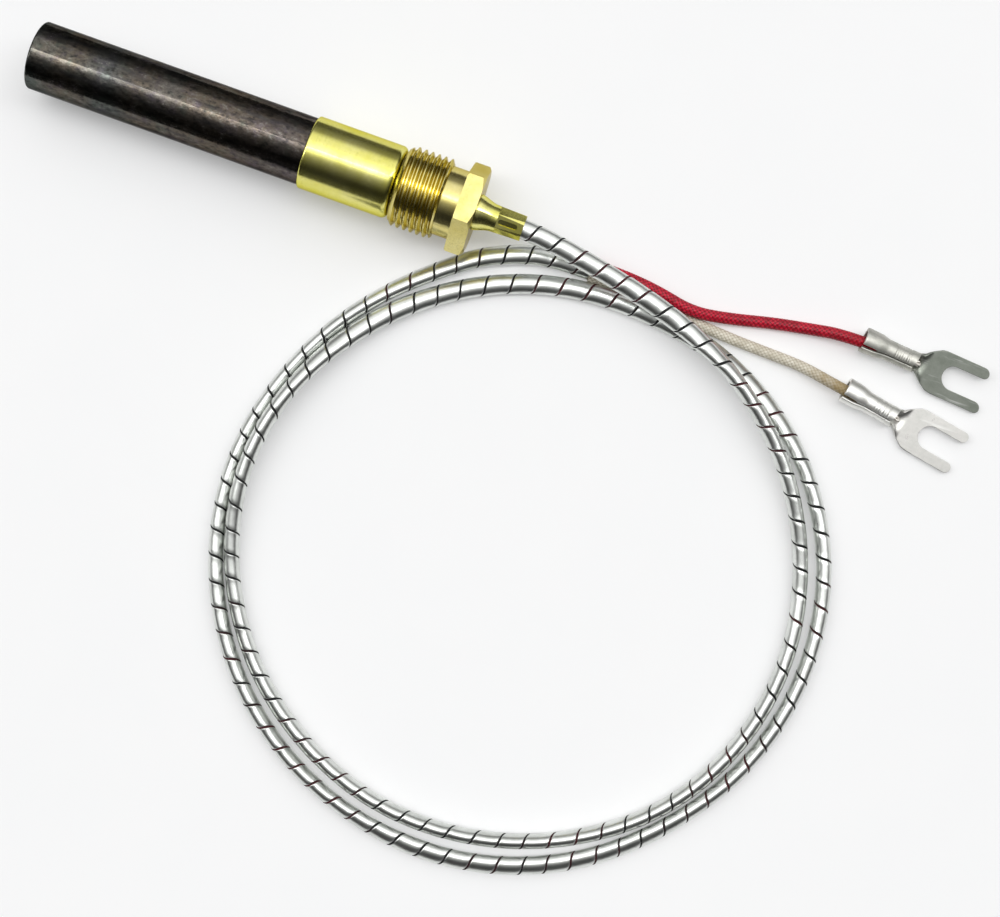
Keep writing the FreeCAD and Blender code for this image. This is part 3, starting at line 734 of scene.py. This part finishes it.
def tin_plate(name, light, dark, barrel, rough):
    """Tin plate, paler and duller where it has been rolled and crimped."""
    m = Shader(name, metallic=0.95)
    rolled = m.attribute("rolled")
    cloud = m.noise(380.0, 5.0, 0.65)
    grain = m.noise(2600.0, 4.0, 0.7)
    scratch = m.noise(1500.0, 3.0, 0.6, m.scaled(0.08, 1, 1))
    colour = m.mix(m.remap(cloud, 0.36, 0.66), light, dark)
    colour = m.mix(m.math("MULTIPLY", rolled, m.remap(cloud, 0.35, 0.60, 1.0, 0.6)), colour, barrel)
    colour = m.mix(m.remap(scratch, 0.60, 0.74, 0.0, 0.45), colour, rgb(0.92, 0.92, 0.90))
    roughness = m.math("ADD", m.remap(cloud, 0.3, 0.7, rough, rough + 0.14),
                       m.remap(grain, 0.4, 0.7, 0.0, 0.06))
    roughness = m.math("ADD", roughness, m.math("MULTIPLY", rolled, 0.08))
    return m.set(base_color=colour, roughness=roughness,
                 normal=m.bump(m.math("ADD", grain, scratch), 0.000012, 0.45))


def plain(name, light, dark, scale, metallic, rough):
    """A mottled finish for the pieces sealed inside."""
    m = Shader(name, metallic=metallic, roughness=rough)
    cloud = m.noise(scale, 4.0, 0.6)
    return m.set(base_color=m.mix(cloud, light, dark), normal=m.bump(cloud, 0.00003, 0.4))


MATERIALS = {
    "blued_steel": blued_steel(),
    "cap_steel": cap_steel(),
    "drawn_brass": brass("drawn_brass", rgb(0.75, 0.71, 0.17), rgb(0.82, 0.78, 0.30),
                         rgb(0.46, 0.42, 0.03), rgb(0.72, 0.68, 0.32), 9000.0, 0.12),
    "turned_brass": brass("turned_brass", rgb(0.70, 0.60, 0.20), rgb(0.80, 0.72, 0.33),
                          rgb(0.38, 0.29, 0.05), rgb(0.60, 0.54, 0.34), 14000.0, 0.12),
    "armour_strip": armour_strip(),
    # For each braid, the second colour is painted shade for the weave's hollows and the last is for
    # its painted glints.
    "red_braid": braid("red_braid", rgb(0.66, 0.008, 0.038), rgb(0.13, 0.0015, 0.006),
                       rgb(0.30, 0.003, 0.008), 0.4, 0.36, rgb(0.85, 0.12, 0.15)),
    "white_braid": braid("white_braid", rgb(0.80, 0.76, 0.65), rgb(0.44, 0.39, 0.29),
                         rgb(0.30, 0.21, 0.08), 0.85, 0.42, rgb(0.88, 0.86, 0.78)),
    "tin_plate": tin_plate("tin_plate", rgb(0.31, 0.33, 0.29), rgb(0.22, 0.24, 0.205),
                           rgb(0.62, 0.61, 0.56), 0.34),
    "bright_tin_plate": tin_plate("bright_tin_plate", rgb(0.70, 0.69, 0.66),
                                  rgb(0.56, 0.56, 0.53), rgb(0.84, 0.84, 0.80), 0.26),
    "tinned_strand": plain("tinned_strand", rgb(0.80, 0.78, 0.74), rgb(0.60, 0.56, 0.50),
                           2000.0, 1.0, 0.3),
    "chromel": plain("chromel", rgb(0.50, 0.49, 0.46), rgb(0.30, 0.29, 0.27), 900.0, 1.0, 0.35),
    "constantan": plain("constantan", rgb(0.58, 0.50, 0.40), rgb(0.35, 0.29, 0.22),
                        900.0, 1.0, 0.35),
    "weld": plain("weld", rgb(0.30, 0.27, 0.28), rgb(0.12, 0.10, 0.14), 2400.0, 1.0, 0.45),
    "ceramic": plain("ceramic", rgb(0.82, 0.78, 0.70), rgb(0.70, 0.65, 0.56), 900.0, 0.0, 0.8),
    "mica": plain("mica", rgb(0.60, 0.50, 0.30), rgb(0.42, 0.33, 0.18), 700.0, 0.0, 0.35),
    "cement": plain("cement", rgb(0.62, 0.58, 0.50), rgb(0.45, 0.42, 0.36), 2600.0, 0.0, 0.9),
    "glass_sleeve": plain("glass_sleeve", rgb(0.75, 0.73, 0.64), rgb(0.60, 0.57, 0.48),
                          3000.0, 0.0, 0.6),
}
SEAM_MATERIAL = armour_seam()

SLOTS = {entry["node"]: entry["material_slot"] for entry in frame["record"]["subparts"]}
for node, obj in frame["nodes"].items():
    material = MATERIALS[SLOTS[node]]
    if obj.data.materials:
        for index in range(len(obj.data.materials)):
            obj.data.materials[index] = material
    else:
        obj.data.materials.append(material)


# ---- Pieces --------------------------------------------------------------------------------------
def finish_piece(obj, slot, *nodes):
    """Give a piece its material, and say what it rides on and which CAD nodes it replaces."""
    obj.data.materials.clear()
    obj.data.materials.append(MATERIALS[slot])
    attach(obj, "generator")
    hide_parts(*nodes)


def make_armour():
    """The lead's armour, whose seams have a material of their own."""
    route = Route("lead_route", LEAD_START + coil_points() + LEAD_END)
    verts, faces, in_seam = armour_mesh(route)
    armour = mesh_object("armoured_lead", verts, faces)
    finish_piece(armour, "armour_strip", "lead_armour")
    armour.data.materials.append(SEAM_MATERIAL)
    armour.data.polygons.foreach_set("material_index", np.array(in_seam, np.int32))
    clean(armour)
    route.path()


def make_wire(look):
    """A braided wire with its terminal and the bare strands in the terminal's grip."""
    route = Route(look.colour + "_route", wire_route(look))
    wire = mesh_object(look.colour + "_lead_wire", *braided_mesh(route, look.diameter))
    finish_piece(wire, look.colour + "_braid", look.colour + "_wire")
    fork = place(mesh_object(look.colour + "_fork", *fork_mesh(look)), look)
    clean(fork)
    finish_piece(fork, look.plate, look.colour + "_fork_terminal")
    strands = place(mesh_object(look.colour + "_strands", *strands_mesh()), look)
    finish_piece(strands, "tinned_strand", look.colour + "_conductor")
    route.path(0.0003)


make_armour()
for each in WIRES:
    make_wire(each)

# ---- Floor and light -----------------------------------------------------------------------------
FLOOR_HALF = 1.0
# The floor ends here, measured from the camera's axis towards the top of the frame.
FLOOR_FAR = 0.078
PAPER_GLOW = 0.24


def paper():
    """Pale paper that glows a little, which keeps the shadows on it light."""
    m = Shader("paper", roughness=0.6, specular_ior_level=0.2,
               emission_color=rgb(1.0, 1.0, 1.0), emission_strength=PAPER_GLOW)
    return m.set(base_color=m.mix(m.noise(60.0, 3.0), rgb(0.690, 0.695, 0.700),
                                  rgb(0.715, 0.715, 0.715)))


def studio_floor():
    """The sheet of paper that the part lies on."""
    centre = Vector((CAMERA_PLACE[0], CAMERA_PLACE[1], FLOOR_Z))
    edges = ((-FLOOR_HALF, -FLOOR_HALF), (FLOOR_HALF, -FLOOR_HALF), (FLOOR_HALF, FLOOR_FAR),
             (-FLOOR_HALF, FLOOR_FAR))
    verts = [centre + IMAGE_RIGHT * across + IMAGE_UP * up for across, up in edges]
    floor = mesh_object("floor", verts, [(0, 1, 2, 3)])
    floor.data.materials.append(paper())


# Sky brightness by how far it leans from straight up towards the top of the frame, in degrees.
SKY = [(-90, 0.06), (-75, 0.06), (-62, 0.025), (-48, 0.026), (-35, 0.09), (-21, 0.23), (-12, 0.42),
       (-6, 0.80), (0, 1.3), (4, 3.0), (8, 8.6), (11, 5.0), (14, 2.0), (20, 1.55), (34, 1.20),
       (50, 1.08), (57, 0.75), (64, 0.30), (82, 0.16), (90, 0.09)]
SKY_PEAK = max(level for _, level in SKY)
# The source fades towards the left and right: full and dimmest sideways lean, and what is left.
SIDE_FULL, SIDE_DIM, SIDE_LEFT_OVER = 0.55, 0.95, 0.30
# What the camera itself sees past the floor's edge.
PLAIN_BACKGROUND = (0.86, 0.87, 0.88, 1)


def studio_sky():
    """A wide soft source over the far side, dim towards the near side; plain where seen."""
    world = bpy.data.worlds.new("studio_sky")
    bpy.context.scene.world = world
    world.use_nodes = True
    sky = Nodes(world.node_tree)
    sky.tree.nodes.clear()
    direction = sky.node("ShaderNodeTexCoord").outputs["Generated"]
    topwards, upwards, sideways = (
        sky.node("ShaderNodeVectorMath", {0: direction, 1: axis},
                 operation="DOT_PRODUCT").outputs["Value"]
        for axis in (IMAGE_UP, Vector((0, 0, 1)), IMAGE_RIGHT))
    lean = sky.remap(sky.math("ARCTAN2", topwards, upwards), -math.pi / 2, math.pi / 2)
    ramp = sky.node("ShaderNodeValToRGB", {"Fac": lean})
    elements = ramp.color_ramp.elements
    while len(elements) < len(SKY):
        elements.new(0.5)
    for element, (degrees, level) in zip(elements, SKY):
        element.position = (degrees + 90) / 180
        element.color = (*[level / SKY_PEAK] * 3, 1)
    fade = sky.remap(sky.math("ABSOLUTE", sideways), SIDE_FULL, SIDE_DIM, 1.0, SIDE_LEFT_OVER,
                     "SMOOTHSTEP")
    light = sky.mix(1.0, ramp.outputs["Color"], fade, "MULTIPLY")
    glow = sky.node("ShaderNodeBackground", {"Color": light, "Strength": SKY_PEAK})
    seen = sky.node("ShaderNodeBackground", {"Color": PLAIN_BACKGROUND})
    is_seen = sky.node("ShaderNodeLightPath").outputs["Is Camera Ray"]
    choose = sky.node("ShaderNodeMixShader", {0: is_seen, 1: glow.outputs["Background"],
                                              2: seen.outputs["Background"]})
    sky.node("ShaderNodeOutputWorld", {"Surface": choose.outputs["Shader"]})


studio_floor()
studio_sky()
bpy.context.scene.view_settings.view_transform = "Standard"


def corners(box):
    return [[float(x) for x in corner] for corner in box]
